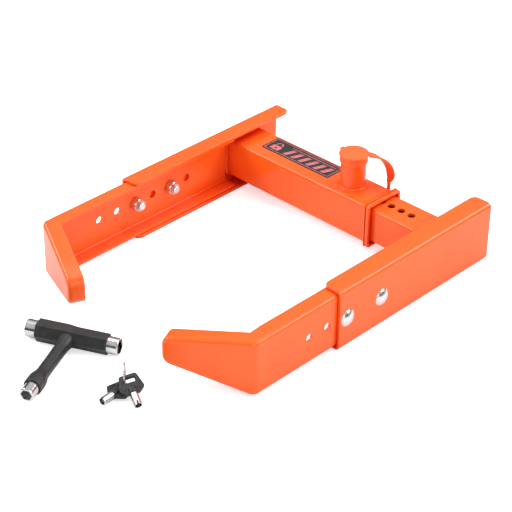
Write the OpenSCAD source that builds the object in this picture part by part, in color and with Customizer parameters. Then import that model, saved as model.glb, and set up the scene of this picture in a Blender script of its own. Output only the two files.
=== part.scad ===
// Adjustable clamp lock for trailers: two hook-ended channel arms on a telescoping square cross tube,
// pinned by a capped key lock, with its T-shaped socket wrench and a pair of tubular keys on a ring.
// Origin: where the lock's axis meets the cross tube's axis. +X runs from the fixed arm to the sliding
// arm, -Y runs towards the hooks, and +Z is up. All sizes are in millimetres.

/* [Cross tube] */
// Outside size of the square outer sleeve
sleeve_size = 50.8; // [50.6:0.1:51.6]
// Wall of the outer sleeve
sleeve_wall = 2.7; // [2.4:0.1:2.8]
// Outside size of the square inner tube
inner_size = 44.4; // [43.6:0.1:44.6]
// Wall of the inner tube
inner_wall = 3; // [2:0.5:3.5]
// Distance from the lock to the flared mouth of the sleeve
sleeve_reach = 36; // [36:0.5:38]
// Length of the inner tube inside the sleeve, past the lock
inner_tail = 90; // [80:1:95]
// Pitch of the locking holes along the inner tube
lock_pitch = 15; // [14:0.5:16]
// Radius of the locking holes
lock_hole_r = 5; // [4.8:0.1:5.4]

/* [Arms] */
// Distance from the lock to the fixed arm's outer face
left_reach = 189.6; // [180:0.1:200]
// Distance from the lock to the sliding arm's outer face
right_reach = 154.1; // [150:0.1:165]
// Height of the arm channels
arm_h = 76; // [75.8:0.1:78]
// Width of the arm channels' flanges
arm_flange = 25.8; // [24.5:0.1:28]
// Plate thickness of the arm channels
arm_t = 3.8; // [3.6:0.1:3.8]
// Rear end of the arm channels, behind the cross tube's axis
arm_rear = 65.4; // [60:0.2:80]
// Front end of the arm channels, before the cross tube's axis
arm_front = 194; // [190:1:196]

/* [Hook extensions] */
// Height of the extension channels
ext_h = 67.6; // [65:0.2:67.8]
// Width of the extension channels' flanges
ext_flange = 19.5; // [19:0.5:20]
// Plate thickness of the extensions
ext_t = 3.5; // [3:0.1:3.6]
// Distance from the cross tube's axis to the apex of the hook bend
hook_apex = 319; // [312:0.2:330]
// Angle that the hook turns inwards from the arm
hook_turn = 65; // [60:1:68]
// Length of the hook from the bend's apex to the tip
hook_len = 104.5; // [98:0.5:108]
// Height of the hook's tip
hook_tip_h = 32; // [30:1:36]
// Pitch of the extension's adjusting holes
ext_pitch = 28; // [27.5:0.5:28.5]
// Radius of the extension's adjusting holes
ext_hole_r = 5; // [4.9:0.1:5.5]

/* [Lock] */
// Outside radius of the lock housing
housing_r = 15.2; // [15:0.1:15.3]
// Radius of the lock plunger
plunger_r = 11; // [10.9:0.05:11.02]
// Travel of the plunger and its bolt
lock_travel = 12; // [11:0.5:12]
// Radius of the round bolt
bolt_r = 4.5; // [4.2:0.1:4.5]

/* [Wrench and keys] */
// Length of the wrench's cross bar, over both sockets
wrench_bar = 108; // [104:1:112]
// Length of the wrench's stem, from the bar's axis to the end
wrench_stem = 110.5; // [108:0.5:114]
// Width of a key's bow
key_bow_w = 27; // [26:0.5:28]

/* [Hidden] */
$fn = 64;
past = 1;                                    // how far a cut runs past the face it opens
orange = "#ff6a2b";
steel = "#d9dadd";
black = "#3a3a3c";

// Corners of the tubes
sleeve_corner_r = 4.2;
tube_corner_r = 4;

// Heights
sleeve_top = sleeve_size / 2;
floor_z = -arm_h / 2;

// Locking holes on each side of the one under the lock
rear_holes = 2;
front_holes = 6;

// Arms and extensions, drawn with the web's outer face at x = 0 and the flanges reaching to +X
arm_bend_r = 6;
flange_corner_r = 8;
ext_gap = 0.2;
ext_x = arm_t + ext_gap;
ext_rear = -30;
ext_bend_r = 5;
hook_flange = 19;
corner_r = 10;                               // outside radius of the hook's upright bend
tip_r = 12;                                  // radius of the tip's two corners
proud = 0.1;                                 // how far a rounding stands proud where it meets a flat face
bend_y = -hook_apex + corner_r * tan(hook_turn / 2);
hook_run = hook_len - corner_r * tan(hook_turn / 2);
hook_taper = atan((ext_h - hook_tip_h) / 2 / hook_run);
hook_start = 3 * corner_r;                   // how far the hook's own shape runs back into the bend
first_hole = -97;
hole_count = 6;
bolt_rows = [first_hole - ext_pitch, first_hole - 3 * ext_pitch];

// Carriage bolts and lock nuts
shank_r = 4.76;
neck_w = 9.5;
neck_hole_w = 9.9;
head_r = 10.3;
head_h = 4.4;
nut_af = 14.3;
nut_h = 8;
nut_collar_r = 6.3;
nut_collar_h = 3.2;
thread_gap = 0.03;
bolt_tail = 2.6;
web_stack = ext_x + ext_t;

// Mouth of the sleeve
collar_len = 8.5;
collar_rise = 3.8;                           // how far the flare stands out on each side
collar_corner_r = 5;
collar_steps = 4;
band_gap = 0.9;
band_len = 4.4;
band_size = 57.2;
band_opening = 49.8;
neck_size = 54;
neck_opening = 47.6;
collar_opening = 46.2;

// Lock, from the top down
housing_top = 66.6;
bore_gap = 0.08;
plunger_top = housing_top - 1;
plunger_bottom = 47.6;
cam_floor = 49.6;
plug_floor = 54.7;
plug_r = 6;
plug_gap = 0.05;
cam_room_r = 7;
plug_flange_r = 6.8;
keyway_inner_r = 3.1;
keyway_outer_r = 4.7;
keyway_floor = 58.6;
cam_low_r = 4.8;
cam_rise = 1.2;
cam_top = 53.4;
cam_bottom = 49.9;
latch_z = 51.6;
latch_r = 1.45;
latch_inner = 5.2;
latch_outer = 10.85;
groove_r = 12.5;
groove_h = 3.5;
stop_z = 50.6;
stop_r = 1.4;
stop_inner = 9.3;
stop_slot_r = 1.5;
stop_slot_depth = 9.1;
bolt_tip_z = 22.9;
bolt_stub_r = 3;
sleeve_bolt_hole_r = 4.6;
base_ring_r = 17.6;
base_ring_h = 3.4;
spring_r = 7.2;
spring_wire_r = 0.55;
spring_turns = 3.75;
spring_bottom = sleeve_top + 0.1 + spring_wire_r;
spring_top = plunger_bottom - 0.1 - spring_wire_r;

// Dust cap and its tether
cap_disc_r = 17.8;
cap_disc_h = 2.6;
cap_z = housing_top + 0.1;
cap_skirt_r = 16.5;
cap_skirt_h = 8.4;
cap_inner_r = housing_r + 0.1;
tether_yaw = 43.3;
tether_w = 10;
tether_t = 2.4;
tether_neck_w = 6;
strap_step = 0.3;
strap_lap = 4;
tether_big_r = 27.5;
tether_small_r = 20;
tether_centre = [16.5, 38.8];
tether_start = 86.5;
tether_join = 5;
tether_end = -14;
foot_s = 44;                                 // how far from the lock's axis the strap's narrow end hangs
foot_w = 4.4;
foot_z = 17.5;
foot_r = 2;
foot_flange_r = 3.4;
foot_flange_h = 2;

// Label
label_size = [108.5, 30];
label_corner = [-140, -9.8];
label_t = 0.4;

// Wrench, placed by the middle of its bar
wrench_at = [-56.1, -387.7];
wrench_yaw = 25.4;
bar_large_af = 22.8;
bar_small_af = 21;
bar_half = 41.4;
stem_offset = -4;
stem_r = 7.5;
stem_flare_r = 10.25;
stem_flare_at = 82;
stem_handle_end = 96.5;
socket_large_r = 10.2;
socket_small_r = 9.5;
socket_stem_r = 8.2;
socket_depth = 16;
socket_gap = 0.03;
large_hex_af = 15.9;
small_hex_af = nut_af + 0.2;
stem_hex_af = 11.2;
wrench_z = floor_z + bar_large_af / 2;

// Keys and their ring
bow_len = 24.5;
bow_t = 4;
bow_far_w = 19;
bow_near_w = 13;
slot_len = 12.5;
slot_w = 6;
slot_at = -4.9;
barrel_r = 4.5;
barrel_bore_r = 3.5;
barrel_len = 15;
barrel_root = 6;
key_reach = bow_len / 2 + barrel_len;
ring_r = 11.5;
ring_wire_r = 0.8;
ring_at = [38.49, -399.03, floor_z + 18.64];
ring_yaw = -44.3;
ring_tilt = 1.3;
lower_key_at = [42.6, -409.53, floor_z + barrel_r + 0.1];
lower_key_pitch = -2.3;
lower_key_yaw = -85.15;
upper_key_at = [52.69, -403.78, floor_z + 13.92];
upper_key_roll = 9.15;
upper_key_pitch = 17.6;
upper_key_yaw = -24.64;

// ---------- shared shapes ----------

// Square with rounded corners, centred
module rounded_square(size, r) {
    square([size, size - 2 * r], center = true);
    square([size - 2 * r, size], center = true);
    for (x = [-1, 1], y = [-1, 1])
        translate([x, y] * (size / 2 - r)) circle(r);
}

// Section of a square tube
module tube_section(size, wall, r) {
    difference() {
        rounded_square(size, r);
        rounded_square(size - 2 * wall, r - wall);
    }
}

// Sweeps a section drawn in Y and Z along X, or one drawn in X and Z along Y
module along_x(x0, x1) {
    translate([x0, 0, 0]) rotate([90, 0, 90]) linear_extrude(x1 - x0) children();
}

module along_y(y0, y1) {
    translate([0, y1, 0]) rotate([90, 0, 0]) linear_extrude(y1 - y0) children();
}

// Filled section of a channel: the web side at x = inset has rounded corners, the open side is at reach
module channel_section(h, reach, bend_r, inset) {
    r = bend_r - inset;
    half = h / 2 - inset;
    translate([inset + r, -half]) square([reach - inset - r, 2 * half]);
    translate([inset, r - half]) square([reach - inset, 2 * (half - r)]);
    for (side = [-1, 1])
        translate([inset + r, side * (half - r)]) circle(r);
}

// Plan rectangle from x = 0 to w whose two corners at x = w are rounded
module flange_outline(y0, y1, w, r) {
    translate([0, y0]) square([w - r, y1 - y0]);
    translate([0, y0 + r]) square([w, y1 - y0 - 2 * r]);
    for (y = [y0 + r, y1 - r])
        translate([w - r, y]) circle(r);
}

module hexagon(across_flats) {
    circle(r = across_flats / 2 / cos(30), $fn = 6);
}

// ---------- arms ----------

module arm_channel() {
    difference() {
        intersection() {
            along_y(-arm_front, arm_rear) channel_section(arm_h, arm_flange, arm_bend_r, 0);
            translate([0, 0, -arm_h]) linear_extrude(2 * arm_h)
                flange_outline(-arm_front, arm_rear, arm_flange, flange_corner_r);
        }
        along_y(-arm_front - past, arm_rear + past)
            channel_section(arm_h, arm_flange + past, arm_bend_r, arm_t);
        for (y = bolt_rows)
            translate([arm_t / 2, y, 0]) cube([arm_t + 2 * past, neck_hole_w, neck_hole_w], center = true);
    }
}

// Places the hook's own frame: web at x = 0, running to -Y from the end of the upright bend
module on_hook() {
    translate([corner_r, bend_y, 0]) rotate([0, 0, hook_turn]) translate([-corner_r, 0, 0]) children();
}

// Tray that slopes down towards the tip above and is open below
module sloping_bar(reach, inset) {
    translate([0, 0, ext_h / 2]) rotate([hook_taper, 0, 0]) translate([0, 0, -3 * ext_h / 2])
        along_y(-2 * hook_run, hook_start) channel_section(3 * ext_h, reach, ext_bend_r, inset);
}

// Section of a disc with a rounded rim, to revolve: radius r, from height h0 up to h1, rounded at h1
module disc_section(r, h0, h1, edge) {
    translate([0, h0]) square([r, h1 - edge - h0]);
    translate([0, h0]) square([r - edge, h1 - h0]);
    translate([r - edge, h1 - edge]) circle(edge);
}

// What the two rounded corners of the tip leave out. Each disc stands a little proud of the faces it joins
module tip_corner_cuts(reach, inset) {
    far = 2 * tip_r;
    z = ext_h / 2 - (hook_run - tip_r) * tan(hook_taper) - tip_r / cos(hook_taper);
    for (side = [0, 1])
        mirror([0, 0, side]) translate([0, tip_r - hook_run, z]) difference() {
            rotate([90, 0, 90]) translate([0, 0, -past]) linear_extrude(reach + 2 * past) mirror([1, 0])
                polygon([[0, 0], [far, 0], [far, far], [far * sin(hook_taper), far * cos(hook_taper)]]);
            rotate([0, -90, 0]) rotate_extrude()
                disc_section(tip_r - inset + proud, -reach - 2 * past, proud - inset, ext_bend_r - inset);
        }
}

// Filled hook in its own frame: two sloping trays meet, closed by the tip
module hook_bar(reach, inset) {
    tip_block = 4 * hook_run;
    difference() {
        intersection() {
            sloping_bar(reach, inset);
            mirror([0, 0, 1]) sloping_bar(reach, inset);
            translate([0, tip_block / 2 - hook_run, -ext_h]) linear_extrude(2 * ext_h)
                channel_section(tip_block, reach, ext_bend_r, inset);
        }
        tip_corner_cuts(reach, inset);
    }
}

// What the upright rounding of the bend leaves out
module bend_cut(inset) {
    far = 2 * corner_r;
    r = corner_r - inset + proud;
    h = ext_h / 2 - inset + proud;
    middle = [far, far * tan(hook_turn / 2)];
    wedge = [[0, 0], [far, 0], middle, far * [cos(hook_turn), sin(hook_turn)]];
    translate([corner_r, bend_y, 0]) difference() {
        translate([0, 0, -ext_h]) linear_extrude(2 * ext_h) rotate(180) polygon(wedge);
        for (side = [0, 1])
            mirror([0, 0, side]) rotate_extrude() disc_section(r, -past, h, ext_bend_r - inset);
    }
}

// Filled extension, inset by a plate thickness when it is used as the hollow
module extension_body(reach, inset) {
    far = 4 * ext_h;
    difference() {
        union() {
            difference() {
                along_y(bend_y, ext_rear + (inset > 0 ? past : 0))
                    channel_section(ext_h, reach, ext_bend_r, inset);
                on_hook() translate([0, past / 2 - far, -ext_h]) cube([far, far, 2 * ext_h]);
            }
            intersection() {
                along_y(-2 * far, bend_y + hook_start) channel_section(ext_h, far, ext_bend_r, inset);
                on_hook() hook_bar(reach, inset);
            }
        }
        bend_cut(inset);
    }
}

// Everything past the free edges of both flanges
module beyond_flanges() {
    far = 4 * ext_h;
    intersection() {
        translate([ext_flange, -2 * far, -far]) cube([far, 3 * far, 2 * far]);
        on_hook() translate([hook_flange, -far, -far]) cube([2 * far, 3 * far, 2 * far]);
    }
}

module hook_extension() {
    wide = 2 * ext_flange;
    translate([ext_x, 0, 0]) difference() {
        extension_body(wide, 0);
        beyond_flanges();
        extension_body(wide + past, ext_t);
        for (i = [0 : hole_count - 1])
            translate([-past, first_hole - i * ext_pitch, 0]) rotate([0, 90, 0])
                cylinder(r = ext_hole_r, h = ext_t + 2 * past);
    }
}

// Dome-head carriage bolt along +X, with its head against the web's outer face
module carriage_bolt() {
    dome_r = (head_r * head_r + head_h * head_h) / (2 * head_h);
    shank_end = web_stack + nut_h + nut_collar_h + bolt_tail;
    intersection() {
        translate([dome_r - head_h, 0, 0]) sphere(dome_r);
        translate([-head_h - past, 0, 0]) rotate([0, 90, 0]) cylinder(r = head_r, h = head_h + past);
    }
    translate([(arm_t - past) / 2, 0, 0]) cube([arm_t - past / 2, neck_w, neck_w], center = true);
    rotate([0, 90, 0]) cylinder(r = shank_r, h = shank_end - past);
    translate([shank_end - past, 0, 0]) rotate([0, 90, 0])
        cylinder(r1 = shank_r, r2 = shank_r - past, h = past);
}

// Lock nut along +X with its washer face against the inner web
module lock_nut() {
    corner = nut_af / 2 / cos(30);
    chamfer = corner - nut_af / 2;
    translate([web_stack, 0, 0]) rotate([0, 90, 0]) difference() {
        union() {
            intersection() {
                linear_extrude(nut_h) hexagon(nut_af);
                union() {
                    cylinder(r = corner, h = nut_h - chamfer);
                    translate([0, 0, nut_h - chamfer])
                        cylinder(r1 = corner, r2 = corner - chamfer, h = chamfer);
                }
            }
            translate([0, 0, nut_h - past]) cylinder(r = nut_collar_r, h = nut_collar_h + past);
        }
        translate([0, 0, -past]) cylinder(r = shank_r + thread_gap, h = nut_h + nut_collar_h + 2 * past);
    }
}

module on_left_arm() {
    translate([-left_reach, 0, 0]) children();
}

module on_right_arm() {
    translate([right_reach, 0, 0]) mirror([1, 0, 0]) children();
}

module at_bolts() {
    for (y = bolt_rows) translate([0, y, 0]) children();
}

// ---------- cross tube ----------

// Axis of the tether's foot, through the sleeve's rear wall, from a distance behind the lock's axis
module at_tether_foot(from) {
    translate([foot_s * cos(tether_yaw), from, foot_z]) rotate([-90, 0, 0]) children();
}

module outer_sleeve_tube() {
    color(orange) difference() {
        along_x(arm_t - left_reach, sleeve_reach) tube_section(sleeve_size, sleeve_wall, sleeve_corner_r);
        cylinder(r = sleeve_bolt_hole_r, h = sleeve_size);
        at_tether_foot(0) cylinder(r = foot_r + thread_gap, h = sleeve_size);
    }
}

// Flared mouth: the flare steepens towards the rim, and the opening stays square
module sleeve_collar() {
    function flare(i) = sleeve_size + 2 * collar_rise * (1 - cos(90 * i / collar_steps));
    function place(i) = sleeve_reach + collar_len * sin(90 * i / collar_steps);
    thin = 0.2;
    color(orange) difference() {
        for (i = [0 : collar_steps - 1])
            hull() {
                along_x(place(i), place(i) + thin) rounded_square(flare(i), collar_corner_r, $fn = 32);
                along_x(place(i + 1) - thin, place(i + 1))
                    rounded_square(flare(i + 1), collar_corner_r + thin, $fn = 32);
            }
        along_x(sleeve_reach - past, sleeve_reach + collar_len + past)
            square(collar_opening, center = true);
    }
}

module collar_band() {
    start = sleeve_reach + collar_len;
    rim = start + band_gap;
    wall = (band_size - band_opening) / 2;
    color(orange) difference() {
        union() {
            along_x(start, rim + past) rounded_square(neck_size, collar_corner_r - past / 2);
            along_x(rim, rim + band_len) rounded_square(band_size, collar_corner_r);
        }
        along_x(start - past, rim + band_len) rounded_square(neck_opening, collar_corner_r - 2);
        along_x(rim + past, rim + band_len + past) rounded_square(band_opening, collar_corner_r - wall);
    }
}

module inner_tube() {
    color(orange) difference() {
        along_x(-inner_tail, right_reach - arm_t) tube_section(inner_size, inner_wall, tube_corner_r);
        for (i = [-rear_holes : front_holes])
            translate([i * lock_pitch, 0, 0]) cylinder(r = lock_hole_r, h = inner_size);
    }
}

module label_plate() {
    color(black) translate([label_corner.x, label_corner.y, sleeve_top])
        linear_extrude(label_t) difference() {
            square(label_size);
            for (x = [0, label_size.x], y = [0, label_size.y])
                translate([x, y]) rotate(45) square(2, center = true);
        }
}

// ---------- lock ----------

module lock_housing() {
    bore_r = plunger_r + bore_gap;
    color(orange) difference() {
        rotate_extrude() {
            translate([0, sleeve_top]) square([housing_r, housing_top - sleeve_top]);
            translate([0, sleeve_top]) square([base_ring_r - base_ring_h / 2, base_ring_h]);
            translate([base_ring_r - base_ring_h / 2, sleeve_top + base_ring_h / 2])
                circle(base_ring_h / 2);
        }
        translate([0, 0, sleeve_top - past]) cylinder(r = bore_r, h = housing_top);
        for (z = [latch_z, latch_z - lock_travel])
            translate([0, 0, z - groove_h / 2]) cylinder(r = groove_r, h = groove_h);
        translate([0, 0, stop_z]) rotate([-90, 0, 0]) cylinder(r = stop_r + thread_gap, h = 2 * housing_r);
    }
}

module stop_pin() {
    color(steel) translate([0, stop_inner, stop_z]) rotate([-90, 0, 0])
        cylinder(r = stop_r, h = housing_r - stop_inner);
}

// Round case of the lock, with a slot at the rear for the stop pin and a side hole for the latch pin
module lock_plunger() {
    slot_top = stop_z + lock_travel;
    color(steel) difference() {
        translate([0, 0, plunger_bottom]) cylinder(r = plunger_r, h = plunger_top - plunger_bottom);
        translate([0, 0, plug_floor - past]) cylinder(r = plug_r + plug_gap, h = plunger_top);
        translate([0, 0, cam_floor]) cylinder(r = cam_room_r, h = plug_floor - cam_floor);
        translate([0, 0, plunger_bottom - past]) cylinder(r = bolt_stub_r + plug_gap, h = plunger_top);
        translate([0, 0, latch_z]) rotate([0, 90, 0]) cylinder(r = latch_r + plug_gap, h = 2 * plunger_r);
        translate([-stop_slot_r, stop_slot_depth, stop_z])
            cube([2 * stop_slot_r, plunger_r, slot_top - stop_z]);
        for (z = [stop_z, slot_top])
            translate([0, stop_slot_depth, z]) rotate([-90, 0, 0]) cylinder(r = stop_slot_r, h = plunger_r);
    }
}

module lock_bolt() {
    stub_h = cam_floor - plunger_bottom;
    color(steel) {
        translate([0, 0, bolt_tip_z]) cylinder(r1 = bolt_r - 1, r2 = bolt_r, h = 1);
        translate([0, 0, bolt_tip_z + 1]) cylinder(r = bolt_r, h = plunger_bottom - bolt_tip_z - 1);
        translate([0, 0, plunger_bottom]) cylinder(r = bolt_stub_r, h = stub_h);
    }
}

// Coil spring: an eight-sided wire swept along a helix
module return_spring() {
    sides = 8;
    rings = round(spring_turns * 20);
    function wire_point(i, k) =
        let (a = 360 * spring_turns * i / rings,
             z = spring_bottom + (spring_top - spring_bottom) * i / rings,
             w = 360 * k / sides,
             r = spring_r + spring_wire_r * cos(w))
        [r * cos(a), r * sin(a), z + spring_wire_r * sin(w)];
    points = [for (i = [0 : rings], k = [0 : sides - 1]) wire_point(i, k)];
    walls = [for (i = [0 : rings - 1], k = [0 : sides - 1])
        let (n = (k + 1) % sides)
        [i * sides + k, (i + 1) * sides + k, (i + 1) * sides + n, i * sides + n]];
    ends = [[for (k = [0 : sides - 1]) k], [for (k = [sides - 1 : -1 : 0]) rings * sides + k]];
    color(steel) polyhedron(points, concat(walls, ends));
}

// Plug that the tubular key turns: a flange below, a ring-shaped keyway above and seven pin holes
module lock_plug() {
    tail_r = 2.4;
    pin_mid = (keyway_inner_r + keyway_outer_r) / 2;
    color(steel) difference() {
        union() {
            translate([0, 0, plug_floor]) cylinder(r = plug_r, h = plunger_top - 0.1 - plug_floor);
            translate([0, 0, plug_floor - 1]) cylinder(r = plug_flange_r, h = 0.9);
            translate([0, 0, plug_floor - 0.5]) cylinder(r = plug_r, h = 1);
            translate([0, 0, cam_bottom]) cylinder(r = tail_r, h = plug_floor - cam_bottom);
        }
        translate([0, 0, keyway_floor]) difference() {
            cylinder(r = keyway_outer_r, h = plunger_top);
            translate([0, 0, -past]) cylinder(r = keyway_inner_r, h = plunger_top);
        }
        for (i = [0 : 6])
            rotate(i * 360 / 7) translate([pin_mid, 0, keyway_floor - 3]) cylinder(r = 0.7, h = 4);
    }
}

module lock_pins() {
    pin_mid = (keyway_inner_r + keyway_outer_r) / 2;
    color(steel) for (i = [0 : 6])
        rotate(i * 360 / 7) translate([pin_mid, 0, keyway_floor - 2.9]) cylinder(r = 0.65, h = 5);
}

// Cam on the plug's tail: its radius grows over a quarter turn, and the low side faces the latch pin
module latch_cam() {
    function radius(a) =
        a <= -90 ? cam_low_r + cam_rise : a <= 0 ? cam_low_r - cam_rise * a / 90 : cam_low_r;
    color(steel) translate([0, 0, cam_bottom]) linear_extrude(cam_top - cam_bottom) difference() {
        polygon([for (a = [-150 : 10 : 200]) radius(a) * [cos(a), sin(a)]]);
        circle(2.45);
    }
}

module latch_pin() {
    color(steel) translate([latch_inner + cam_rise / 6, 0, latch_z]) rotate([0, 90, 0])
        cylinder(r = latch_r, h = latch_outer - latch_inner - cam_rise / 6);
}

// Rubber cap: a disc over the housing's rim, a skirt around it, a pull tab and the tether's lug
module dust_cap() {
    lug_x = cap_inner_r + 0.5;
    round_r = cap_disc_h / 2;
    color(orange) {
        difference() {
            union() {
                translate([0, 0, cap_z]) rotate_extrude() {
                    square([cap_disc_r - round_r, cap_disc_h]);
                    translate([cap_disc_r - round_r, round_r]) circle(round_r);
                }
                translate([0, 0, cap_z - cap_skirt_h]) cylinder(r = cap_skirt_r, h = cap_skirt_h + past);
                rotate(tether_yaw) translate([lug_x, -tether_w / 2, cap_z - 2.4])
                    cube([cap_disc_r - 0.3 - lug_x, tether_w, 3.4]);
            }
            translate([0, 0, cap_z - cap_skirt_h - past]) cylinder(r = cap_inner_r, h = cap_skirt_h + past);
        }
        translate([-cap_disc_r + 2, 0, cap_z]) cylinder(r = 4, h = cap_disc_h);
    }
}

// Tether: a strap in two arcs from the cap's lug, with a narrow end pinned to the sleeve's rear wall
module cap_tether() {
    module arc(centre, r, from, to, t, w)
        translate([centre.x, 0, centre.y]) rotate([90, 0, 0]) rotate([0, 0, from])
            rotate_extrude(angle = to - from) translate([r, 0]) square([t, w], center = true);
    inward = tether_big_r - tether_small_r;
    small_centre = tether_centre + inward * [cos(tether_join), sin(tether_join)];
    narrow_from = foot_z - foot_flange_r + past;
    wall_y = sleeve_size / 2;
    foot_reach = foot_s * sin(tether_yaw) - wall_y + sleeve_wall;
    color(orange) {
        rotate(tether_yaw) {
            arc(tether_centre, tether_big_r, tether_join, tether_start, tether_t, tether_w);
            arc(small_centre, tether_small_r, tether_end, tether_join + strap_lap,
                tether_t - strap_step, tether_neck_w);
            translate([foot_s - tether_t / 2, -foot_w / 2, narrow_from])
                cube([tether_t, foot_w, tether_centre.y - past - narrow_from]);
        }
        at_tether_foot(wall_y - sleeve_wall) cylinder(r = foot_r, h = foot_reach);
        at_tether_foot(wall_y) cylinder(r = foot_flange_r, h = foot_flange_h);
    }
}

// ---------- wrench ----------

module on_wrench() {
    translate([wrench_at.x, wrench_at.y, wrench_z]) rotate([0, 0, wrench_yaw]) children();
}

// Hexagonal bar with a flat face down, swept along X
module hex_bar(x0, x1, across_flats) {
    along_x(x0, x1) hexagon(across_flats);
}

module along_stem(from) {
    translate([stem_offset, -from, 0]) rotate([90, 0, 0]) children();
}

module wrench_handle() {
    step_x = -1.5;
    step_len = 5.7;
    step_af = 0.7;
    boss_r = stem_r + 1.6;
    color(black) on_wrench() difference() {
        union() {
            hex_bar(-bar_half, step_x - step_len, bar_large_af);
            hex_bar(step_x - step_len, step_x, bar_large_af - step_af);
            hex_bar(step_x, step_x + step_len, bar_small_af + step_af);
            hex_bar(step_x + step_len, bar_half, bar_small_af);
            along_stem(0) cylinder(r = stem_r, h = stem_flare_at);
            along_stem(0) cylinder(r1 = boss_r, r2 = stem_r, h = 20);
            along_stem(stem_flare_at - 4) cylinder(r1 = stem_r, r2 = stem_flare_r, h = 5);
            along_stem(stem_flare_at + 1)
                cylinder(r = stem_flare_r, h = stem_handle_end - stem_flare_at - 2);
            along_stem(stem_handle_end - 1) cylinder(r1 = stem_flare_r, r2 = stem_flare_r - 1, h = 1);
        }
        along_x(-bar_half - past, socket_depth - bar_half) circle(socket_large_r + socket_gap);
        along_x(bar_half - socket_depth, bar_half + past) circle(socket_small_r + socket_gap);
        along_stem(stem_handle_end - socket_depth)
            cylinder(r = socket_stem_r + socket_gap, h = 2 * socket_depth);
    }
}

// Socket along +Z: rounded mouth, hexagonal pocket, closed root
module socket(r, length, across_flats) {
    lip = 0.8;
    difference() {
        union() {
            cylinder(r = r, h = length - lip);
            translate([0, 0, length - lip]) cylinder(r1 = r, r2 = r - lip, h = lip);
        }
        translate([0, 0, length - socket_depth]) linear_extrude(socket_depth + past) hexagon(across_flats);
    }
}

module wrench_large_socket() {
    root = bar_half - socket_depth;
    color(steel) on_wrench() translate([-root - socket_gap, 0, 0]) rotate([0, -90, 0])
        socket(socket_large_r, wrench_bar / 2 - root, large_hex_af);
}

module wrench_small_socket() {
    root = bar_half - socket_depth;
    color(steel) on_wrench() translate([root + socket_gap, 0, 0]) rotate([0, 90, 0])
        socket(socket_small_r, wrench_bar / 2 - root, small_hex_af);
}

module wrench_stem_socket() {
    root = stem_handle_end - socket_depth;
    color(steel) on_wrench() along_stem(root + socket_gap)
        socket(socket_stem_r, wrench_stem - root, stem_hex_af);
}

// ---------- keys ----------

// Split ring standing upright through both keys' slots
module key_ring() {
    color(steel) translate(ring_at) rotate([ring_tilt, 0, ring_yaw]) rotate([90, 0, 0])
        rotate_extrude() translate([ring_r, 0]) circle(ring_wire_r);
}

// Key along +X with its bow centred on the origin
module key_bow() {
    half = bow_len / 2;
    shoulder = half - 6;
    color(black) difference() {
        translate([0, 0, -bow_t / 2]) linear_extrude(bow_t) difference() {
            polygon([[-half, -bow_far_w / 2], [shoulder, -key_bow_w / 2], [half, -bow_near_w / 2],
                     [half, bow_near_w / 2], [shoulder, key_bow_w / 2], [-half, bow_far_w / 2]]);
            translate([slot_at, 0]) square([slot_w, slot_len], center = true);
        }
        translate([half - barrel_root, 0, 0]) rotate([0, 90, 0])
            cylinder(r = barrel_r + socket_gap, h = bow_len);
    }
}

module key_barrel() {
    start = bow_len / 2 - barrel_root + socket_gap;
    color(steel) difference() {
        translate([start, 0, 0]) rotate([0, 90, 0]) cylinder(r = barrel_r, h = key_reach - start);
        translate([key_reach - 8, 0, 0]) rotate([0, 90, 0]) cylinder(r = barrel_bore_r, h = 8 + past);
        translate([key_reach - 4, -0.9, barrel_bore_r - past]) cube([4 + past, 1.8, 2 + past]);
    }
}

module place_lower_key() {
    translate(lower_key_at) rotate([0, lower_key_pitch, lower_key_yaw]) children();
}

module place_upper_key() {
    translate(upper_key_at) rotate([upper_key_roll, upper_key_pitch, upper_key_yaw]) children();
}

module left_arm_channel() color(orange) on_left_arm() arm_channel();
module left_hook_extension() color(orange) on_left_arm() hook_extension();
module left_arm_bolts() color(steel) on_left_arm() at_bolts() carriage_bolt();
module left_arm_nuts() color(steel) on_left_arm() at_bolts() lock_nut();
module right_arm_channel() color(orange) on_right_arm() arm_channel();
module right_hook_extension() color(orange) on_right_arm() hook_extension();
module right_arm_bolts() color(steel) on_right_arm() at_bolts() carriage_bolt();
module right_arm_nuts() color(steel) on_right_arm() at_bolts() lock_nut();
module key_lower_bow() place_lower_key() key_bow();
module key_lower_barrel() place_lower_key() key_barrel();
module key_upper_bow() place_upper_key() key_bow();
module key_upper_barrel() place_upper_key() key_barrel();

outer_sleeve_tube();
sleeve_collar();
collar_band();
left_arm_channel();
left_hook_extension();
left_arm_bolts();
left_arm_nuts();
label_plate();
lock_housing();
stop_pin();
cap_tether();
lock_plunger();
lock_bolt();
return_spring();
lock_plug();
lock_pins();
latch_cam();
latch_pin();
dust_cap();
inner_tube();
right_arm_channel();
right_hook_extension();
right_arm_bolts();
right_arm_nuts();
wrench_handle();
wrench_large_socket();
wrench_small_socket();
wrench_stem_socket();
key_ring();
key_lower_bow();
key_lower_barrel();
key_upper_bow();
key_upper_barrel();
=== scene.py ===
"""Looks for the adjustable trailer lock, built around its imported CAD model.

Lengths are millimetres, except in the node materials, the floor and the lights, where they are metres.
"""

import math

import bpy
from mathutils import Matrix, Vector


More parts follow.
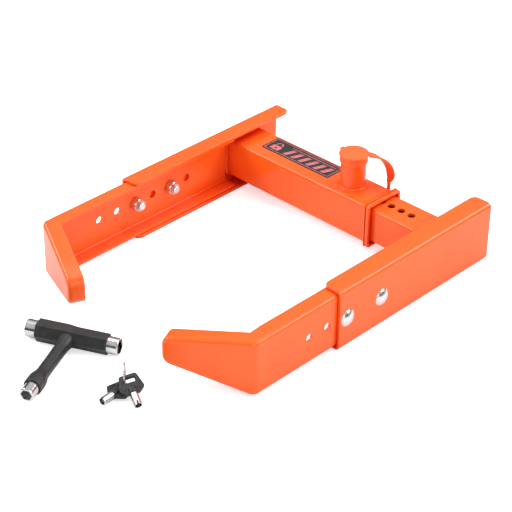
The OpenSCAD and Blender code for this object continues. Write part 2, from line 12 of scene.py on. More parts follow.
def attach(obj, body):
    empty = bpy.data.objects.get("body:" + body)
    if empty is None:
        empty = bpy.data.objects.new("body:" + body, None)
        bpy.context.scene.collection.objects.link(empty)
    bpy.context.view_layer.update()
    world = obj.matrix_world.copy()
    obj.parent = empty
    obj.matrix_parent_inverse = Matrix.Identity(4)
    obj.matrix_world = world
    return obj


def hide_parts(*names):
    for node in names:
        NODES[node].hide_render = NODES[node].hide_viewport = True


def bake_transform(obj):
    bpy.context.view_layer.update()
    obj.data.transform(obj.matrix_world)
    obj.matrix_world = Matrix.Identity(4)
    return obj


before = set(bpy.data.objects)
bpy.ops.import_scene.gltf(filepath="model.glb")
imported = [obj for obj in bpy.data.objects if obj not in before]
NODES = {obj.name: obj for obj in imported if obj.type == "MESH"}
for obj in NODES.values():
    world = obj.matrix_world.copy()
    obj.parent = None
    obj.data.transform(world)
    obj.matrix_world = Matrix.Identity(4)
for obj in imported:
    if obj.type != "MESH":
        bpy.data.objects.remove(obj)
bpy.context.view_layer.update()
MM = 0.001

# Places taken over from the CAD model
FLOOR_Z = -38.0
SLEEVE_SIZE, INNER_SIZE = 50.8, 44.4
SLEEVE_TOP = SLEEVE_SIZE / 2
BOLT_YS = (-125, -181)
LEFT_WEB, RIGHT_WEB, WEB_T = -189.6, 154.1, 3.8
TETHER_YAW = 43.3
WRENCH_AT, WRENCH_YAW = (-56.1, -387.7, FLOOR_Z + 11.4), 25.4
LOWER_KEY = ((42.6, -409.53, FLOOR_Z + 4.6), -85.15, -2.3, 0)
UPPER_KEY = ((52.69, -403.78, FLOOR_Z + 13.92), -24.64, 17.6, 9.15)


# ---------- node materials ----------


class Graph:
    """A material whose nodes are added by short calls."""

    def __init__(self, name):
        self.material = bpy.data.materials.new(name)
        self.material.use_nodes = True
        self.tree = self.material.node_tree
        self.tree.nodes.clear()
        self.shader = self.add("ShaderNodeBsdfPrincipled")
        output = self.add("ShaderNodeOutputMaterial")
        self.tree.links.new(self.shader.outputs["BSDF"], output.inputs["Surface"])
        self.place = self.add("ShaderNodeTexCoord").outputs["Object"]

    def add(self, kind, props=None, inputs=None):
        node = self.tree.nodes.new(kind)
        for name, value in (props or {}).items():
            setattr(node, name, value)
        for name, value in (inputs or {}).items():
            self.set(node.inputs[name], value)
        return node

    def set(self, socket, value):
        if isinstance(value, bpy.types.NodeSocket):
            self.tree.links.new(value, socket)
        else:
            socket.default_value = value

    def surface(self, **inputs):
        """Sets the shader's inputs, with _ for a space in a name."""
        for name, value in inputs.items():
            self.set(self.shader.inputs[name.replace("_", " ")], value)

    def noise(self, size, detail=2.0, stretch=(1, 1, 1)):
        """Soft noise from 0 to 1 whose features are about size metres across."""
        where = self.add(
            "ShaderNodeMapping", inputs={"Vector": self.place, "Scale": stretch}
        )
        node = self.add(
            "ShaderNodeTexNoise",
            inputs={"Vector": where.outputs[0], "Scale": 1 / size, "Detail": detail},
        )
        return node.outputs["Fac"]

    def spread(self, value, low, high, start=0.3, end=0.7):
        node = self.add(
            "ShaderNodeMapRange",
            inputs={"Value": value, "From Min": start, "From Max": end, "To Min": low, "To Max": high},
        )
        return node.outputs["Result"]

    def mix(self, share, first, second):
        node = self.add("ShaderNodeMix", {"data_type": "RGBA"})
        self.set(node.inputs[0], share)
        self.set(node.inputs[6], first)
        self.set(node.inputs[7], second)
        return node.outputs[2]

    def maths(self, operation, first, second=0.0):
        node = self.add("ShaderNodeMath", {"operation": operation})
        self.set(node.inputs[0], first)
        self.set(node.inputs[1], second)
        return node.outputs[0]

    def crevices(self, reach):
        """1 in tight corners and 0 in the open, within reach metres."""
        node = self.add(
            "ShaderNodeAmbientOcclusion", {"samples": 12}, {"Distance": reach}
        )
        return self.maths("SUBTRACT", 1.0, node.outputs["AO"])

    def rounded(self, radius):
        return self.add(
            "ShaderNodeBevel", {"samples": 4}, {"Radius": radius}
        ).outputs["Normal"]

    def bump(self, height, depth, strength, normal=None):
        node = self.add(
            "ShaderNodeBump",
            inputs={"Height": height, "Distance": depth, "Strength": strength},
        )
        if normal is not None:
            self.set(node.inputs["Normal"], normal)
        return node.outputs["Normal"]


def powder_coat():
    """Glossy safety-orange powder coat with orange peel, and painted shade that darkens it to deep red in
    its corners.
    """
    g = Graph("orange_powder_coat")
    tone = g.spread(g.noise(0.06, 3), 0.0, 1.0)
    colour = g.mix(tone, (1.0, 0.120, 0.010, 1), (1.0, 0.134, 0.013, 1))
    # painted shade: an occlusion mask darkens the coat towards deep red in corners and creases
    painted_corner_shade = g.spread(g.crevices(0.035), 0.0, 1.0, 0.3, 0.9)
    colour = g.mix(painted_corner_shade, colour, (0.80, 0.010, 0.001, 1))
    peel = g.bump(g.noise(0.0011, 1.5), 0.00002, 0.12)
    g.surface(
        Base_Color=colour,
        Roughness=g.spread(g.noise(0.04, 1), 0.24, 0.36, 0.0, 1.0),
        Specular_IOR_Level=0.12,
        Coat_Weight=0.6,
        Coat_Roughness=0.12,
        Normal=peel,
    )
    return g.material


def cap_rubber():
    """Orange moulded rubber: matte, with a fine grain and a soft sheen."""
    g = Graph("orange_rubber")
    tone = g.spread(g.noise(0.008, 3), 0.0, 1.0)
    colour = g.mix(tone, (1.0, 0.128, 0.014, 1), (1.0, 0.150, 0.020, 1))
    # painted shade: an occlusion mask darkens the rubber towards deep red in its corners and creases
    painted_corner_shade = g.maths("MULTIPLY", g.crevices(0.006), 0.55)
    colour = g.mix(painted_corner_shade, colour, (0.6, 0.012, 0.001, 1))
    g.surface(
        Base_Color=colour,
        Roughness=g.spread(g.noise(0.003, 2), 0.42, 0.56),
        Subsurface_Weight=0.04,
        Subsurface_Radius=(0.004, 0.0012, 0.0005),
        Subsurface_Scale=0.5,
        Sheen_Weight=0.12,
        Sheen_Roughness=0.5,
        Normal=g.bump(g.noise(0.0005, 2), 0.00003, 0.5),
    )
    return g.material


def metal(name, colour, roughness, spread, grain, stretch=(1, 1, 1), marks=0.15):
    """Bare or plated metal with fine directional scratches, smudges, and darker towards near-black in its
    corners.
    """
    g = Graph(name)
    film = g.spread(g.noise(0.009, 3), 0.0, marks)
    shade = tuple(c * 0.62 for c in colour) + (1,)
    tint = g.mix(film, colour + (1,), shade)
    # darker towards near-black in corners and creases, from an occlusion mask
    tint = g.mix(g.maths("MULTIPLY", g.crevices(0.004), 0.7), tint, (0.05, 0.05, 0.055, 1))
    lines = g.noise(grain, 3, stretch)
    g.surface(
        Base_Color=tint,
        Metallic=1.0,
        Roughness=g.spread(lines, roughness, roughness + spread),
        Normal=g.bump(lines, 0.00002, 0.35, g.rounded(0.0003)),
    )
    return g.material


def plastic(name, dark, light, roughness, grain):
    """Dark moulded plastic or handle coat with a fine pebbled skin and rubbed, lighter edges."""
    g = Graph(name)
    tone = g.spread(g.noise(0.01, 4), 0.0, 1.0)
    colour = g.mix(tone, dark + (1,), light + (1,))
    facing = g.add("ShaderNodeNewGeometry").outputs["Pointiness"]
    rubbed = g.spread(facing, 0.0, 0.5, 0.53, 0.62)
    colour = g.mix(rubbed, colour, tuple(2.2 * c for c in light) + (1,))
    g.surface(
        Base_Color=colour,
        Roughness=g.spread(g.noise(0.004, 3), roughness, roughness + 0.12),
        Normal=g.bump(g.noise(grain, 3), 0.00005, 0.6, g.rounded(0.0004)),
    )
    return g.material


def film(name, first, second, roughness):
    """Printed vinyl: an even ink with faint mottling and a fine gloss."""
    g = Graph(name)
    colour = g.mix(g.spread(g.noise(0.0035, 4), 0.0, 1.0), first + (1,), second + (1,))
    g.surface(
        Base_Color=colour,
        Roughness=g.spread(g.noise(0.002, 2), roughness, roughness + 0.15),
        Normal=g.bump(g.noise(0.0012, 2), 0.00001, 0.4),
    )
    return g.material


COAT = powder_coat()
RUBBER = cap_rubber()
ZINC = metal("zinc_plated_steel", (0.80, 0.80, 0.81), 0.2, 0.14, 0.0012)
STEEL = metal("plain_steel", (0.60, 0.60, 0.61), 0.28, 0.2, 0.002, (1, 1, 12), 0.3)
NICKEL = metal("bright_nickel", (0.68, 0.68, 0.68), 0.12, 0.14, 0.0016, marks=0.35)
HANDLE = plastic("black_handle_coat", (0.016, 0.016, 0.017), (0.028, 0.028, 0.029), 0.36, 0.0009)
BOW = plastic("black_plastic", (0.015, 0.015, 0.016), (0.026, 0.026, 0.027), 0.4, 0.0006)
LABEL = film("label_film", (0.020, 0.018, 0.020), (0.040, 0.036, 0.038), 0.3)
INK = film("label_ink", (0.62, 0.16, 0.17), (0.74, 0.24, 0.24), 0.35)


# ---------- meshes ----------


def turned(degrees, axis):
    return Matrix.Rotation(math.radians(degrees), 4, axis)


def place(at=(0, 0, 0), yaw=0.0, pitch=0.0, roll=0.0):
    """Millimetre frame of a piece, turned like the CAD model's own placements."""
    turn = turned(yaw, "Z") @ turned(pitch, "Y") @ turned(roll, "X")
    return Matrix.Translation(Vector(at) * MM) @ turn @ Matrix.Scale(MM, 4)


def add_object(name, mesh, material):
    mesh.materials.append(material)
    for face in mesh.polygons:
        face.use_smooth = True
    obj = bpy.data.objects.new(name, mesh)
    bpy.context.scene.collection.objects.link(obj)
    return obj


def build(name, points, faces, material, matrix=None):
    matrix = matrix or place()
    mesh = bpy.data.meshes.new(name)
    mesh.from_pydata([matrix @ Vector(p) for p in points], [], faces)
    mesh.validate()
    mesh.update()
    return add_object(name, mesh, material)


def strip_faces(rings, count, closed_path):
    """Quads between neighbouring rings of count points."""
    faces = []
    for i in range(rings if closed_path else rings - 1):
        a, b = i * count, ((i + 1) % rings) * count
        for k in range(count):
            n = (k + 1) % count
            faces.append((a + k, a + n, b + n, b + k))
    return faces


def loft(name, rings, material, matrix=None, closed_path=False):
    """A skin over closed rings of equal point counts, capped at both ends unless its path is closed."""
    count = len(rings[0])
    faces = strip_faces(len(rings), count, closed_path)
    if not closed_path:
        last = (len(rings) - 1) * count
        faces.append(tuple(reversed(range(count))))
        faces.append(tuple(range(last, last + count)))
    points = [p for ring in rings for p in ring]
    return build(name, points, faces, material, matrix)


def revolve(name, profile, material, matrix=None, steps=96, axis="Z"):
    """Turns (radius, height) pairs round an axis, with a cap over each end of the profile."""
    least_r = 1e-4
    rings = []
    for r, h in profile:
        r = max(r, least_r)
        ring = []
        for k in range(steps):
            a = 2 * math.pi * k / steps
            u, v = r * math.cos(a), r * math.sin(a)
            ring.append((u, v, h) if axis == "Z" else (u, -h, v) if axis == "-Y" else (h, u, v))
        rings.append(ring)
    return loft(name, rings, material, matrix)


def rounded(points, radius, steps=5):
    """A closed outline whose corners are replaced by arcs."""
    out = []
    for i, corner in enumerate(points):
        here = Vector(corner)
        before = (Vector(points[i - 1]) - here).normalized()
        after = (Vector(points[(i + 1) % len(points)]) - here).normalized()
        half = math.acos(max(-1.0, min(1.0, before.dot(after)))) / 2
        reach = radius / math.tan(half)
        centre = here + (before + after).normalized() * (radius / math.sin(half))
        start, end = here + before * reach - centre, here + after * reach - centre
        for k in range(steps + 1):
            t = k / steps
            spoke = start.lerp(end, t).normalized() * radius
            out.append(tuple(centre + spoke))
    return out


def rectangle(x0, y0, x1, y1):
    return [(x0, y0), (x1, y0), (x1, y1), (x0, y1)]


def plate(name, outlines, z0, z1, material, matrix=None, edge=0.0):
    """A flat plate from outlines, holes included, with edges rounded by edge."""
    curve = bpy.data.curves.new(name, "CURVE")
    curve.dimensions = "2D"
    curve.fill_mode = "BOTH"
    curve.extrude = (z1 - z0) / 2 - edge
    curve.bevel_depth = edge
    curve.bevel_resolution = 2
    curve.offset = -edge
    for outline in outlines:
        spline = curve.splines.new("POLY")
        spline.points.add(len(outline) - 1)
        for point, (x, y) in zip(spline.points, outline):
            point.co = (x, y, 0, 1)
        spline.use_cyclic_u = True
    holder = bpy.data.objects.new(name + "_curve", curve)
    bpy.context.scene.collection.objects.link(holder)
    bpy.context.view_layer.update()
    mesh = bpy.data.meshes.new_from_object(
        holder.evaluated_get(bpy.context.evaluated_depsgraph_get())
    )
    bpy.data.objects.remove(holder)
    mesh.name = name
    mesh.transform((matrix or place()) @ Matrix.Translation((0, 0, (z0 + z1) / 2)))
    mesh.materials.clear()
    obj = add_object(name, mesh, material)
    weld_points(obj)
    return obj


def weld_points(obj):
    modifier = obj.modifiers.new("Weld", "WELD")
    modifier.merge_threshold = 0.002 * MM


def soften(obj, width):
    """Rounds a mesh's sharp edges by width millimetres and evens out its shading."""
    bevel = obj.modifiers.new("Bevel", "BEVEL")
    bevel.width = width * MM
    bevel.segments = 2
    bevel.limit_method = "ANGLE"
    bevel.angle_limit = math.radians(32)
    bevel.use_clamp_overlap = True
    shade = obj.modifiers.new("Shade", "WEIGHTED_NORMAL")
    shade.weight = 60
    return obj


def join(name, objects):
    """One object from several that share a material."""
    with bpy.context.temp_override(
        active_object=objects[0], object=objects[0], selected_editable_objects=objects
    ):
        bpy.ops.object.join()
    objects[0].name = name
    return objects[0]


# ---------- CAD nodes that stay ----------


def dress(node, material, width=0.0):
    """Gives a CAD node its material, and rounds its edges by width millimetres where asked."""
    obj = NODES[node]
    obj.data.materials.clear()
    obj.data.materials.append(material)
    if "custom_normal" in obj.data.attributes and width:
        obj.data.attributes.remove(obj.data.attributes["custom_normal"])
    if width:
        for face in obj.data.polygons:
            face.use_smooth = True
        weld_points(obj)
        flat = obj.modifiers.new("Flat", "DECIMATE")
        flat.decimate_type = "DISSOLVE"
        flat.angle_limit = math.radians(0.8)
        soften(obj, width)


def dress_all():
    coated = {
        "outer_sleeve_tube": 0.5,
        "inner_tube": 0.5,
        "left_arm_channel": 0.7,
        "right_arm_channel": 0.7,
        "left_hook_extension": 0.7,
        "right_hook_extension": 0.7,
        "collar_band": 0.5,
        "lock_housing": 0.35,
    }
    for node, width in coated.items():
        dress(node, COAT, width)
    for node in ("left_arm_bolts", "right_arm_bolts", "left_arm_nuts", "right_arm_nuts", "stop_pin"):
        dress(node, ZINC, 0.2)
    for node in ("lock_plunger", "lock_bolt", "lock_plug", "lock_pins", "latch_cam", "latch_pin"):
        dress(node, STEEL)
    for node in ("wrench_large_socket", "wrench_small_socket", "wrench_stem_socket"):
        dress(node, NICKEL, 0.25)
    for node in ("key_lower_barrel", "key_upper_barrel"):
        dress(node, NICKEL, 0.2)
    dress("key_ring", NICKEL)
    dress("label_plate", LABEL)


# ---------- dust cap and tether ----------


def arc_points(centre, radius, start, end, steps):
    """Points of an arc between two angles in degrees."""
    out = []
    for k in range(steps + 1):
        a = math.radians(start + (end - start) * k / steps)
        out.append((centre[0] + radius * math.cos(a), centre[1] + radius * math.sin(a)))
    return out


def dust_cap():
    """Moulded cap: a disc with a raised rim, a skirt with a rolled lower edge, and a ribbed pull tab."""
    top, base, skirt_end = 69.3, 66.7, 58.3
    disc_r, skirt_r, bore_r, bead = 17.8, 16.45, 15.35, 0.15
    outline = [(0, top - 0.5), (10.6, top - 0.5)]
    outline += arc_points((11.2, top - 0.1), 0.4, -90, 0, 3)[:-1]
    outline += arc_points((12.2, top - 0.6), 0.6, 150, 90, 3)
    outline += arc_points((disc_r - 1.3, top - 1.3), 1.3, 90, -8, 8)
    outline += arc_points((disc_r - 0.7, base + 0.6), 0.6, -20, -90, 4)
    outline += arc_points((skirt_r + 0.5, base - 0.5), 0.5, 90, 180, 4)
    outline += [(skirt_r, skirt_end + 3.0), (skirt_r + bead, skirt_end + 2.6)]
    outline += [(skirt_r + bead, skirt_end + 0.6)]
    outline += arc_points((skirt_r - 0.35, skirt_end + 0.5), 0.5, 0, -90, 4)
    outline += [(bore_r + 0.25, skirt_end), (bore_r, skirt_end + 0.3)]
    outline += [(bore_r, base - 0.02), (0, base - 0.02)]
    cap = revolve("cap_body", outline, RUBBER, steps=112)
    tab = rounded([(-20.0, -3.4), (-20.0, 3.4), (-13.0, 4.4), (-13.0, -4.4)], 2.2, 6)
    pull = plate("cap_pull_tab", [tab], base + 0.1, top - 0.5, RUBBER, edge=0.5)
    ribs = []
    for x in (-19.0, -18.2):
        rib = rounded(rectangle(x - 0.22, -2.2, x + 0.22, 2.2), 0.2, 3)
        ribs.append(plate("cap_rib", [rib], top - 0.6, top - 0.3, RUBBER, edge=0.1))
    grip = join("cap_tab_ribs", ribs)
    for piece in (cap, pull, grip):
        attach(piece, "cap")
    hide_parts("dust_cap")


def tether_path():
    """Centre line of the strap: over the bulge in an upright plane, then down the sleeve's rear wall."""
    centre, big_r, small_r, join_at, end_at = (16.5, 38.8), 27.5, 20.0, 5, -24
    a = math.radians(join_at)
    inward = big_r - small_r
    small_centre = (centre[0] + inward * math.cos(a), centre[1] + inward * math.sin(a))
    path = arc_points(centre, big_r, 88, join_at, 44)
    path += arc_points(small_centre, small_r, join_at, end_at, 14)[1:]
    side = turned(TETHER_YAW, "Z") @ Vector((1, 0, 0))
    points = [side * s + Vector((0, 0, z)) for s, z in path]
    last, foot = points[-1], Vector((31.0, SLEEVE_TOP + 2.9, 16.6))
    for k in range(1, 9):
        t = k / 8
        points.append(last.lerp(foot, t) + Vector((0, 0.5 * math.sin(math.pi * t), 0)))
    return points


def ease(t):
    t = max(0.0, min(1.0, t))
    return t * t * (3 - 2 * t)


def strap_width(t):
    """Width at share t of the strap's length: broad over the bulge, then a neck and a wider foot."""
    at_cap, swell, narrowing, foot = 10.4, 2.2, 8.0, 0.8
    bulge = swell * ease(t / 0.4)
    neck = narrowing * ease((t - 0.6) / 0.25)
    return at_cap + bulge - neck + foot * ease((t - 0.93) / 0.07)


def tether():
    """Moulded strap, wide at the cap, that narrows and turns flat to the sleeve's rear wall."""
    path = tether_path()
    length = [0.0]
    for p, q in zip(path, path[1:]):
        length.append(length[-1] + (q - p).length)
    rings = []
    for i, p in enumerate(path):
        t = length[i] / length[-1]
        along = (path[min(i + 1, len(path) - 1)] - path[max(i - 1, 0)]).normalized()
        twist = (90 - TETHER_YAW) * ease((t + 0.15) / 0.5)
        azimuth = math.radians(TETHER_YAW + 90 + twist)
        flat = Vector((math.cos(azimuth), math.sin(azimuth), 0))
        out = flat.cross(along).normalized()
        across = along.cross(out)
        width = strap_width(t)
        thick = 2.3 + 0.5 * max(0.0, 1 - t / 0.1)
        corners = rectangle(-width / 2, -thick / 2, width / 2, thick / 2)
        rings.append([tuple(p + across * u + out * v) for u, v in rounded(corners, 0.85, 4)])
    strap = loft("cap_tether_strap", rings, RUBBER)
    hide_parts("cap_tether")
    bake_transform(strap)
    rear = place((32.0, SLEEVE_TOP, 17.5), roll=-90)
    button = [(0, -2.9), (1.9, -2.9), (1.9, 0), (3.4, 0)]
    button += arc_points((2.9, 1.5), 0.5, 0, 90, 4)
    button += [(1.9, 2.2), (1.7, 4.2), (0, 4.4)]
    foot = revolve("tether_foot", button, RUBBER, rear, 40)
    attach(foot, "fixed_frame")


# ---------- return spring ----------


def return_spring():
    """Coil between the sleeve and the plunger.

    Its first and last half turns lie flat.
    """
    bottom, top, turns, coil_r, wire_r, dead = 26.05, 46.95, 4.75, 7.2, 0.55, 0.5
    steps_per_turn, wire_sides = 30, 10
    count = int(turns * steps_per_turn)
    rings = []
    for i in range(count + 1):
        turn = turns * i / count
        rise = max(0.0, min(1.0, (turn - dead) / (turns - 2 * dead)))
        a, z = 2 * math.pi * turn, bottom + (top - bottom) * rise
        ring = []
        for k in range(wire_sides):
            w = 2 * math.pi * k / wire_sides
            r = coil_r + wire_r * math.cos(w)
            ring.append((r * math.cos(a), r * math.sin(a), z + wire_r * math.sin(w)))
        rings.append(ring)
    spring = loft("spring_coil", rings, STEEL)
    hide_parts("return_spring")
    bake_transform(spring)


# ---------- sleeve mouth and welds ----------


def square_ring(x, size, radius):
    """A square outline with rounded corners, at a place along X."""
    corners = rectangle(-size / 2, -size / 2, size / 2, size / 2)
    return [(x, y, z) for y, z in rounded(corners, radius, 6)]


def sleeve_mouth():
    """The sleeve's flared end: the flare steepens towards its rolled rim."""
    start, length, rise, bore = 36.0, 8.5, 3.8, 46.3
    end = start + length
    rings = []
    for k in range(13):
        a = math.pi / 2 * k / 12
        size = SLEEVE_SIZE + 2 * rise * (1 - math.cos(a))
        rings.append(square_ring(start + (length - 0.5) * math.sin(a), size - 0.02, 4.2 + k / 12))
    rings.append(square_ring(end - 0.15, 58.3, 5.2))
    rings.append(square_ring(end, 57.7, 5.0))
    rings.append(square_ring(end, bore + 0.7, 1.6))
    rings.append(square_ring(end - 0.3, bore, 1.4))
    rings.append(square_ring(start, bore, 1.4))
    mouth = loft("sleeve_mouth", rings, COAT, closed_path=True)
    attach(mouth, "fixed_frame")
    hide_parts("sleeve_collar")


def seam(path_points, normal_of, size, material, name, step=0.55, pitch=2.3):
    """A fillet weld along a closed path: a rippled bead whose legs lie on the two faces it joins."""
    root = 0.3
    total = [0.0]
    closed = path_points + [path_points[0]]
    for p, q in zip(closed, closed[1:]):
        total.append(total[-1] + (Vector(q) - Vector(p)).length)
    count = int(total[-1] / step)
    rings = []
    j = 0
    for i in range(count):
        s = total[-1] * i / count
        while total[j + 1] < s:
            j += 1
        t = (s - total[j]) / max(total[j + 1] - total[j], 1e-9)
        here = Vector(closed[j]).lerp(Vector(closed[j + 1]), t)
        out, up = normal_of(here)
        wave = abs(math.sin(math.pi * s / pitch)) ** 0.6
        drift = 0.12 * math.sin(s * 0.37) + 0.08 * math.sin(s * 0.91 + 1.3)
        leg = size * (0.9 + 0.1 * wave + drift)
        ring = [here - out * root - up * root, here + out * leg - up * root]
        for k in range(1, 6):
            a = math.pi / 2 * k / 6
            belly = leg * (0.74 + (0.1 + 0.07 * wave) * math.sin(2 * a))
            ring.append(here + out * belly * math.cos(a) + up * belly * math.sin(a))
        ring.append(here - out * root + up * leg)
        rings.append([tuple(p) for p in ring])
    return loft(name, rings, material, closed_path=True)


def square_seam(name, x, size, facing, body):
    """The weld round a square tube where it meets a web whose face looks along facing X."""
    corner_r = 4.1
    path = square_ring(x, size, corner_r)

    def normals(p):
        inner = size / 2 - corner_r
        away = Vector((0, p.y - max(-inner, min(inner, p.y)), p.z - max(-inner, min(inner, p.z))))
        return away.normalized(), Vector((facing, 0, 0))

    weld = seam(path, normals, 3.6, COAT, name)
    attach(weld, body)


def round_seam(name, z, radius, size, body):
    """The weld round an upright barrel where it stands on a flat face."""
    path = [(x, y, z) for x, y in arc_points((0, 0), radius, 0, 355.5, 79)]

    def normals(p):
        return Vector((p.x, p.y, 0)).normalized(), Vector((0, 0, 1))

    weld = seam(path, normals, size, COAT, name, step=0.45, pitch=2.0)
    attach(weld, body)


# ---------- bolt threads ----------


def thread_rings(x0, x1, root, crest, pitch, facing, centre):
    """Rings of a screw thread whose radius swings between root and crest, smooth at both ends."""
    rings = []
    steps, around = int((x1 - x0) / (pitch / 8)), 32
    for i in range(steps + 1):
        x = x0 + (x1 - x0) * i / steps
        ring = []
        for k in range(around):
            phase = ((x - x0) / pitch - k / around) % 1
            r = root + (crest - root) * (1 - abs(2 * phase - 1))
            if i in (0, steps):
                r = root
            a = 2 * math.pi * k / around
            ring.append((centre[0] + facing * x, centre[1] + r * math.cos(a), centre[2] + r * math.sin(a)))
        rings.append(ring if facing > 0 else ring[::-1])
    return rings


def bolt_threads(name, web_x, facing, body):
    """Threads on the two bolt tails that stand out of the lock nuts."""
    stack, nut, tail = 7.5, 11.2, 2.6
    parts = []
    start, end = stack + nut - 0.4, stack + nut + tail - 0.9
    root, crest, pitch = 4.78, 5.0, 0.85
    for y in BOLT_YS:
        rings = thread_rings(start, end, root, crest, pitch, facing, (web_x, y, 0))
        parts.append(loft(name + "_part", rings, ZINC))
    piece = join(name, parts)
    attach(piece, body)


# ---------- label print ----------


def label_print():
    """A generic print: a border, a padlock sign and slanted bars."""
    z0, z1 = SLEEVE_TOP + 0.4, SLEEVE_TOP + 0.45
    x0, y0, x1, y1 = -140, -9.8, -31.5, 20.2
    frame_out = rounded(rectangle(x0 + 2, y0 + 2, x1 - 2, y1 - 2), 2, 4)
    frame_in = rounded(rectangle(x0 + 2.9, y0 + 2.9, x1 - 2.9, y1 - 2.9), 1.3, 4)
    parts = [plate("print_border", [frame_out, frame_in], z0, z1, INK)]
    cx, cy = -125.5, 3.4
    body = rounded(rectangle(cx - 7, cy - 7.6, cx + 7, cy + 2), 1.4, 4)
    hole = arc_points((cx, cy - 2.8), 1.5, 0, 342, 19)
    parts.append(plate("print_body", [body, hole], z0, z1, INK))
    outer_r, inner_r, foot = 4.9, 3.2, cy + 2.8
    outer = arc_points((cx, cy + 4.6), outer_r, 180, 0, 14)
    inner = arc_points((cx, cy + 4.6), inner_r, 0, 180, 14)
    shackle = [(cx - outer_r, foot)] + outer + [(cx + outer_r, foot)]
    shackle += [(cx + inner_r, foot)] + inner + [(cx - inner_r, foot)]
    parts.append(plate("print_shackle", [shackle], z0, z1, INK))
    for k in range(6):
        x = -110 + 12.2 * k
        bar = [(x, -4.6), (x + 6.2, -4.6), (x + 11.4, 10.4), (x + 5.2, 10.4)]
        parts.append(plate("print_bar", [bar], z0, z1, INK))
    rule = rectangle(-109, 12.9, -38, 14.1)
    parts.append(plate("print_rule", [rule], z0, z1, INK))
    piece = join("label_print", parts)
    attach(piece, "fixed_frame")


# ---------- wrench ----------


def hex_ring(x, flats):
    """A hexagon outline with rounded corners and a flat face down, at a place along the bar."""
    reach = flats / 2 / math.cos(math.radians(30))
    corners = arc_points((0, 0), reach, 0, 300, 5)
    return [(x, y, z) for y, z in rounded(corners, 1.6, 7)]


def circle_ring(x, radius, like):
    """A circle with one point for each point of another ring, at the same angles."""
    out = []
    for _, y, z in like:
        a = math.atan2(z, y)
        out.append((x, radius * math.cos(a), radius * math.sin(a)))
    return out


def wrench_bar():
    """Hexagonal bar, larger across its flats at one end, with a round recess in each end face."""
    half, large, small, slope = 41.4, 22.8, 21.0, (-7.2, 4.2)
    left_r, right_r, recess = 10.25, 9.55, 6
    rings = [
        circle_ring(-half + recess, left_r, hex_ring(0, large)),
        circle_ring(-half, left_r, hex_ring(0, large)),
        hex_ring(-half, large - 1.4),
        hex_ring(-half + 0.25, large - 0.5),
        hex_ring(-half + 0.8, large),
    ]
    for k in range(9):
        t = k / 8
        rings.append(hex_ring(slope[0] + (slope[1] - slope[0]) * t, large + (small - large) * ease(t)))
    rings += [
        hex_ring(half - 0.8, small),
        hex_ring(half - 0.25, small - 0.5),
        hex_ring(half, small - 1.4),
        circle_ring(half, right_r, hex_ring(0, small)),
        circle_ring(half - recess, right_r, hex_ring(0, small)),
    ]
    return loft("wrench_bar", rings, HANDLE, place(WRENCH_AT, WRENCH_YAW))


def wrench_stem():
    """Round stem: a swelling root that runs out of the bar, and a thicker grip end with a rounded step."""
    root = [(9.3, 2.0), (9.2, 7.0), (9.0, 11.0), (8.6, 14.0), (8.1, 17.0), (7.7, 20.5), (7.5, 25.0)]
    shaft = [(7.45, 34), (7.45, 56), (7.5, 69.5)]
    step = [(7.7, 72.5), (8.3, 75.5), (9.1, 78.5), (9.8, 81.2), (10.15, 84.0)]
    grip = [(10.25, 87), (10.25, 92), (10.2, 95.2), (10.0, 96.0), (9.5, 96.5), (8.25, 96.5), (8.25, 88)]
    matrix = place(WRENCH_AT, WRENCH_YAW) @ Matrix.Translation((-4, 0, 0))
    return revolve("wrench_stem", root + shaft + step + grip, HANDLE, matrix, 72, "-Y")


def wrench():
    bar, stem = wrench_bar(), wrench_stem()
    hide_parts("wrench_handle")
    for piece in (bar, stem):
        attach(piece, "wrench")
        piece.modifiers.new("Shade", "WEIGHTED_NORMAL").weight = 60


# ---------- keys ----------


def key_bow(name, placing, node, body):
    """Moulded bow: rounded shield outline, a ring slot, a raised collar round the barrel and grip ridges."""
    matrix = place(*placing)
    half, shoulder = 12.25, 6.25
    outline = [(-half, -9.5), (shoulder, -13.5), (half, -6.5), (half, 6.5), (shoulder, 13.5), (-half, 9.5)]
    slot = rounded(rectangle(-7.9, -6.25, -1.9, 6.25), 1.4, 4)
    bow = plate(name, [rounded(outline, 3.0, 6), slot], -2, 2, BOW, matrix, edge=0.6)
    ridges = []
    for side in (-1, 1):
        for k in range(3):
            shift, inset = 1.9 + 1.5 * k, 0.8 * k
            line = [
                (8.2 - inset, -9.2 + shift * 0.7),
                (5.2 - inset, -12.8 + shift),
                (-0.6, -11.3 + shift),
                (-0.6, -11.8 + shift),
                (5.4 - inset, -13.3 + shift),
                (8.6 - inset, -9.6 + shift * 0.7),
            ]
            line = [(x, side * y) for x, y in line]
            ridges.append(plate("ridge", [line], 1.95, 2.18, BOW, matrix))
            ridges.append(plate("ridge", [line], -2.18, -1.95, BOW, matrix))
    grip = join(name + "_ridges", ridges)
    profile = [(4.5, 4.6), (5.0, 5.0), (5.2, 6.4), (5.2, 11.6), (4.95, 12.3), (4.5, 12.45)]
    collar = revolve(name + "_collar", profile, BOW, matrix, 48, "X")
    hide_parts(node)
    for piece in (bow, grip, collar):
        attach(piece, body)
    bow.modifiers.new("Shade", "WEIGHTED_NORMAL").weight = 60


def keys():
    key_bow("lower_key_bow", LOWER_KEY, "key_lower_bow", "lower_key")
    key_bow("upper_key_bow", UPPER_KEY, "key_upper_bow", "upper_key")


# ---------- studio ----------

FLOOR_GLOW = 0.55


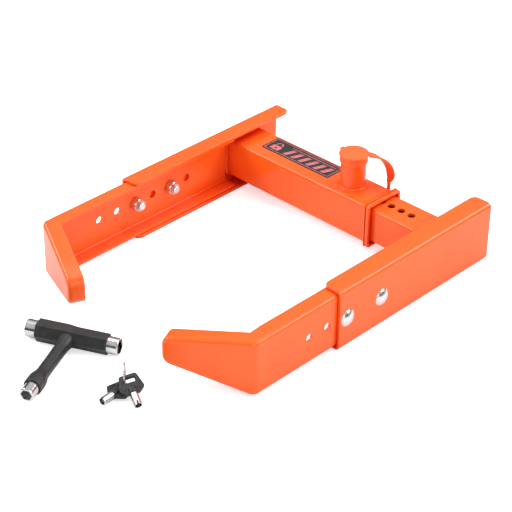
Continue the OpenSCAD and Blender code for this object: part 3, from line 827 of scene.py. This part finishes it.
def studio_floor():
    g = Graph("studio_floor")
    seen = g.add("ShaderNodeLightPath").outputs["Is Camera Ray"]
    g.surface(
        Base_Color=g.mix(g.noise(0.4, 2), (0.93, 0.93, 0.93, 1), (0.95, 0.95, 0.95, 1)),
        Roughness=0.7,
        Specular_IOR_Level=0.2,
        Emission_Color=(1, 1, 1, 1),
        Emission_Strength=g.maths("MULTIPLY", seen, FLOOR_GLOW),
    )
    reach, z = 4.0, (FLOOR_Z - 0.06) * MM
    corners = [(x, y, z) for x, y in rectangle(-reach, -reach, reach, reach)]
    mesh = bpy.data.meshes.new("floor")
    mesh.from_pydata(corners, [], [(0, 1, 2, 3)])
    add_object("floor", mesh, g.material)


def studio_world():
    """White above and dark in a band over the horizon, which gives metal something to reflect.

    The camera sees only white.
    """
    world = bpy.data.worlds.new("studio")
    bpy.context.scene.world = world
    world.use_nodes = True
    tree = world.node_tree
    tree.nodes.clear()
    new, link = tree.nodes.new, tree.links.new
    coords, split = new("ShaderNodeTexCoord"), new("ShaderNodeSeparateXYZ")
    ramp, path = new("ShaderNodeValToRGB"), new("ShaderNodeLightPath")
    lit, seen = new("ShaderNodeBackground"), new("ShaderNodeBackground")
    mixed, out = new("ShaderNodeMixShader"), new("ShaderNodeOutputWorld")
    stops = [(0.0, 0.4), (0.02, 0.03), (0.34, 0.05), (0.55, 0.9), (1.0, 1.0)]
    while len(ramp.color_ramp.elements) < len(stops):
        ramp.color_ramp.elements.new(0.5)
    for element, (at, value) in zip(ramp.color_ramp.elements, stops):
        element.position = at
        element.color = (value, value, value, 1)
    link(coords.outputs["Generated"], split.inputs[0])
    link(split.outputs["Z"], ramp.inputs["Fac"])
    link(ramp.outputs["Color"], lit.inputs["Color"])
    lit.inputs["Strength"].default_value = 0.68
    seen.inputs["Color"].default_value = (1, 1, 1, 1)
    link(path.outputs["Is Camera Ray"], mixed.inputs[0])
    link(lit.outputs[0], mixed.inputs[1])
    link(seen.outputs[0], mixed.inputs[2])
    link(mixed.outputs[0], out.inputs["Surface"])


def soft_light(name, at, aim, size, power):
    data = bpy.data.lights.new(name, "AREA")
    data.shape = "RECTANGLE"
    data.size, data.size_y = size
    data.energy = power
    light = bpy.data.objects.new(name, data)
    light.location = at
    light.rotation_mode = "QUATERNION"
    light.rotation_quaternion = (Vector(aim) - Vector(at)).to_track_quat("-Z", "Y")
    bpy.context.scene.collection.objects.link(light)


def studio_lights():
    centre = (0, -0.15, 0)
    soft_light("overhead", (-0.2, 0.3, 1.9), centre, (2.0, 1.4), 14)
    soft_light("left_box", (-1.45, -1.3, 1.3), centre, (1.7, 0.9), 28)
    soft_light("back_box", (1.3, 1.3, 1.3), centre, (1.7, 0.9), 28)
    soft_light("front_right", (1.5, -1.2, 0.7), centre, (1.2, 1.0), 9)


def studio_camera():
    """The camera at the photographed angle, from azimuth, elevation, roll and distance."""
    azimuth, elevation, roll = (math.radians(d) for d in (43.73, 32.9, 0.7))
    aim, distance = Vector((-70.9, -89.2, -66.0)) * MM, 2078.85 * MM
    ahead = math.cos(elevation)
    back = Vector((math.sin(azimuth) * ahead, -math.cos(azimuth) * ahead, math.sin(elevation)))
    level = Vector((math.cos(azimuth), math.sin(azimuth), 0))
    upright = back.cross(level)
    right = level * math.cos(roll) + upright * math.sin(roll)
    up = upright * math.cos(roll) - level * math.sin(roll)
    data = bpy.data.cameras.new("camera")
    data.sensor_width, data.lens = 36, 121.9
    data.clip_start, data.clip_end = 0.05, 30
    camera = bpy.data.objects.new("camera", data)
    facing = Matrix((right, up, back)).transposed().to_4x4()
    camera.matrix_world = Matrix.Translation(aim + back * distance) @ facing
    bpy.context.scene.collection.objects.link(camera)
    bpy.context.scene.camera = camera


def main():
    dress_all()
    dust_cap()
    tether()
    return_spring()
    sleeve_mouth()
    square_seam("left_web_weld", LEFT_WEB + WEB_T, SLEEVE_SIZE, 1, "fixed_frame")
    square_seam("right_web_weld", RIGHT_WEB - WEB_T, INNER_SIZE, -1, "sliding_arm")
    round_seam("housing_weld", SLEEVE_TOP, 17.4, 1.6, "fixed_frame")
    bolt_threads("left_bolt_threads", LEFT_WEB, 1, "fixed_frame")
    bolt_threads("right_bolt_threads", RIGHT_WEB, -1, "sliding_arm")
    label_print()
    wrench()
    keys()
    studio_floor()
    studio_world()
    studio_lights()
    studio_camera()
    bpy.context.scene.view_settings.view_transform = "Standard"


main()
